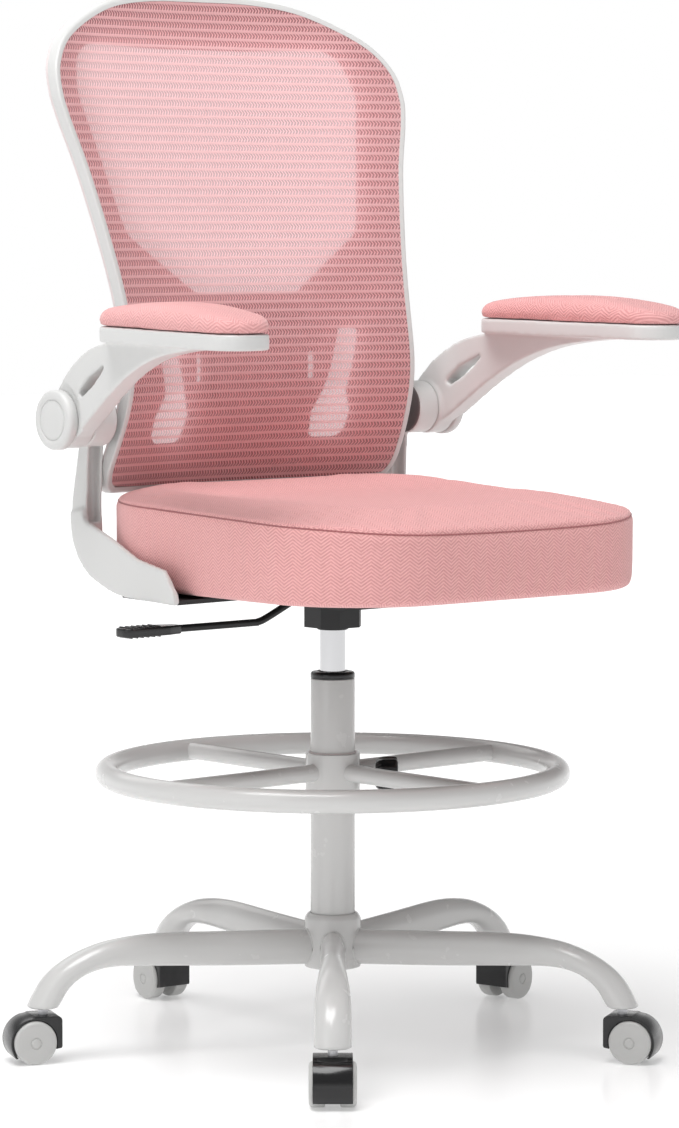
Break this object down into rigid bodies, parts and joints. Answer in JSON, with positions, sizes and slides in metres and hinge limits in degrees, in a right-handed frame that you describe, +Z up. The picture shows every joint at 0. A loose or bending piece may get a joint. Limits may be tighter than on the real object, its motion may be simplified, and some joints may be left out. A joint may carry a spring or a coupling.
{
  "type": "drafting chair",
  "caption": "Height-adjustable drafting chair with a pink upholstered seat, a pink mesh back in a white frame, flip-up arms, a foot ring and a white base on twin-wheel casters",
  "frame": {"origin": "floor level, under the middle of the object's bounding box", "axes": "+Z up, -Y towards where the sitter faces, +X to the sitter's left"},
  "size_m": [0.7154, 0.6958, 1.1589],
  "materials": {
    "white_paint": "gloss",
    "white_plastic": "satin",
    "grey_plastic": "matte",
    "wheel_grey": "satin",
    "black_plastic": "gloss",
    "black_steel": "satin",
    "chrome": "polished",
    "steel": "satin",
    "pink_fabric": "matte",
    "pink_mesh": "matte",
    "plywood": "matte"
  },
  "bodies": {
    "base": {"base_hub": "white_paint", "base_leg_1": "white_paint", "base_leg_2": "white_paint", "base_leg_3": "white_paint", "base_leg_4": "white_paint", "base_leg_5": "white_paint", "column_tube": "white_paint", "column_bush": "black_plastic"},
    "caster_1": {"caster_hood_1": "black_plastic", "caster_stem_1": "steel", "caster_axle_1": "steel"},
    "wheel_1a": {"caster_wheel_1a": "wheel_grey"},
    "wheel_1b": {"caster_wheel_1b": "wheel_grey"},
    "caster_2": {"caster_hood_2": "black_plastic", "caster_stem_2": "steel", "caster_axle_2": "steel"},
    "wheel_2a": {"caster_wheel_2a": "wheel_grey"},
    "wheel_2b": {"caster_wheel_2b": "wheel_grey"},
    "caster_3": {"caster_hood_3": "black_plastic", "caster_stem_3": "steel", "caster_axle_3": "steel"},
    "wheel_3a": {"caster_wheel_3a": "wheel_grey"},
    "wheel_3b": {"caster_wheel_3b": "wheel_grey"},
    "caster_4": {"caster_hood_4": "black_plastic", "caster_stem_4": "steel", "caster_axle_4": "steel"},
    "wheel_4a": {"caster_wheel_4a": "wheel_grey"},
    "wheel_4b": {"caster_wheel_4b": "wheel_grey"},
    "caster_5": {"caster_hood_5": "black_plastic", "caster_stem_5": "steel", "caster_axle_5": "steel"},
    "wheel_5a": {"caster_wheel_5a": "wheel_grey"},
    "wheel_5b": {"caster_wheel_5b": "wheel_grey"},
    "piston": {"piston_rod": "steel"},
    "upper": {"gas_cylinder": "chrome", "mechanism_housing": "black_steel", "seat_plate": "black_steel", "seat_pan": "plywood", "seat_cushion": "pink_fabric", "back_mesh": "pink_mesh", "back_frame": "white_plastic", "back_shell": "grey_plastic", "back_bar": "black_steel", "side_bracket_left": "white_plastic", "side_bracket_right": "white_plastic", "arm_pivot_pin_left": "steel", "arm_pivot_pin_right": "steel", "arm_pivot_cap_left": "white_plastic", "arm_pivot_cap_right": "white_plastic"},
    "lever": {"height_lever_rod": "black_steel", "height_lever_handle": "black_plastic"},
    "release_pin": {"release_pin": "steel"},
    "foot_ring": {"foot_ring": "white_paint", "ring_sleeve": "grey_plastic"},
    "clamp_knob": {"ring_clamp_knob": "black_plastic"},
    "arm_left": {"arm_support_left": "white_plastic", "arm_pad_left": "pink_fabric"},
    "arm_right": {"arm_support_right": "white_plastic", "arm_pad_right": "pink_fabric"},
    "lumbar": {"lumbar_support": "grey_plastic"}
  },
  "joints": [
    {"name": "caster_swivel_1", "type": "hinge", "parent": "base", "child": "caster_1", "pos_m": [-0.21862, -0.2758, 0.0515], "axis": [0, 0, 1], "continuous": true},
    {"name": "wheel_spin_1a", "type": "hinge", "parent": "caster_1", "child": "wheel_1a", "pos_m": [-0.2273, -0.28614, 0.0237], "axis": [0.766, -0.6428, 0], "continuous": true},
    {"name": "wheel_spin_1b", "type": "hinge", "parent": "caster_1", "child": "wheel_1b", "pos_m": [-0.2273, -0.28614, 0.0237], "axis": [0.766, -0.6428, 0], "continuous": true},
    {"name": "caster_swivel_2", "type": "hinge", "parent": "base", "child": "caster_2", "pos_m": [0.16837, -0.30286, 0.0515], "axis": [0, 0, 1], "continuous": true},
    {"name": "wheel_spin_2a", "type": "hinge", "parent": "caster_2", "child": "wheel_2a", "pos_m": [0.17553, -0.31431, 0.0237], "axis": [0.848, 0.5299, 0], "continuous": true},
    {"name": "wheel_spin_2b", "type": "hinge", "parent": "caster_2", "child": "wheel_2b", "pos_m": [0.17553, -0.31431, 0.0237], "axis": [0.848, 0.5299, 0], "continuous": true},
    {"name": "caster_swivel_3", "type": "hinge", "parent": "base", "child": "caster_3", "pos_m": [0.3137, 0.05683, 0.0515], "axis": [0, 0, 1], "continuous": true},
    {"name": "wheel_spin_3a", "type": "hinge", "parent": "caster_3", "child": "wheel_3a", "pos_m": [0.3268, 0.0601, 0.0237], "axis": [-0.2419, 0.9703, 0], "continuous": true},
    {"name": "wheel_spin_3b", "type": "hinge", "parent": "caster_3", "child": "wheel_3b", "pos_m": [0.3268, 0.0601, 0.0237], "axis": [-0.2419, 0.9703, 0], "continuous": true},
    {"name": "caster_swivel_4", "type": "hinge", "parent": "base", "child": "caster_4", "pos_m": [0.01652, 0.3062, 0.0515], "axis": [0, 0, 1], "continuous": true},
    {"name": "wheel_spin_4a", "type": "hinge", "parent": "caster_4", "child": "wheel_4a", "pos_m": [0.01746, 0.31966, 0.0237], "axis": [-0.9976, 0.0698, 0], "continuous": true},
    {"name": "wheel_spin_4b", "type": "hinge", "parent": "caster_4", "child": "wheel_4b", "pos_m": [0.01746, 0.31966, 0.0237], "axis": [-0.9976, 0.0698, 0], "continuous": true},
    {"name": "caster_swivel_5", "type": "hinge", "parent": "base", "child": "caster_5", "pos_m": [-0.31247, 0.10062, 0.0515], "axis": [0, 0, 1], "continuous": true},
    {"name": "wheel_spin_5a", "type": "hinge", "parent": "caster_5", "child": "wheel_5a", "pos_m": [-0.32499, 0.10568, 0.0237], "axis": [-0.3746, -0.9272, 0], "continuous": true},
    {"name": "wheel_spin_5b", "type": "hinge", "parent": "caster_5", "child": "wheel_5b", "pos_m": [-0.32499, 0.10568, 0.0237], "axis": [-0.3746, -0.9272, 0], "continuous": true},
    {"name": "seat_swivel", "type": "hinge", "parent": "base", "child": "piston", "pos_m": [-0.0065, -0.023, 0.12], "axis": [0, 0, 1], "continuous": true},
    {"name": "seat_height", "type": "slide", "parent": "piston", "child": "upper", "axis": [0, 0, 1], "range_m": [0, 0.2]},
    {"name": "height_lever", "type": "hinge", "parent": "upper", "child": "lever", "pos_m": [-0.037, -0.023, 0.4998], "axis": [0, 1, 0], "range_deg": [0, 6], "stiffness_Nm_per_rad": 1.5},
    {"name": "pin_press", "type": "slide", "parent": "upper", "child": "release_pin", "axis": [0, 0, -1], "range_m": [0, 0.0034]},
    {"name": "ring_height", "type": "slide", "parent": "base", "child": "foot_ring", "axis": [0, 0, 1], "range_m": [-0.12, 0.07]},
    {"name": "clamp_turn", "type": "hinge", "parent": "foot_ring", "child": "clamp_knob", "pos_m": [0.0318, -0.05514, 0.3], "axis": [0.766, -0.6428, 0], "range_deg": [-360, 0]},
    {"name": "arm_flip_left", "type": "hinge", "parent": "upper", "child": "arm_left", "pos_m": [0.2395, 0.109, 0.6935], "axis": [-1, 0, 0], "range_deg": [0, 90]},
    {"name": "arm_flip_right", "type": "hinge", "parent": "upper", "child": "arm_right", "pos_m": [-0.2525, 0.109, 0.6935], "axis": [-1, 0, 0], "range_deg": [0, 90]},
    {"name": "lumbar_slide", "type": "slide", "parent": "upper", "child": "lumbar", "axis": [0, 0, 1], "range_m": [-0.01, 0.012]}
  ],
  "couplings": [
    {"joint": "pin_press", "follows": "height_lever", "m_per_rad": 0.0305}
  ]
}
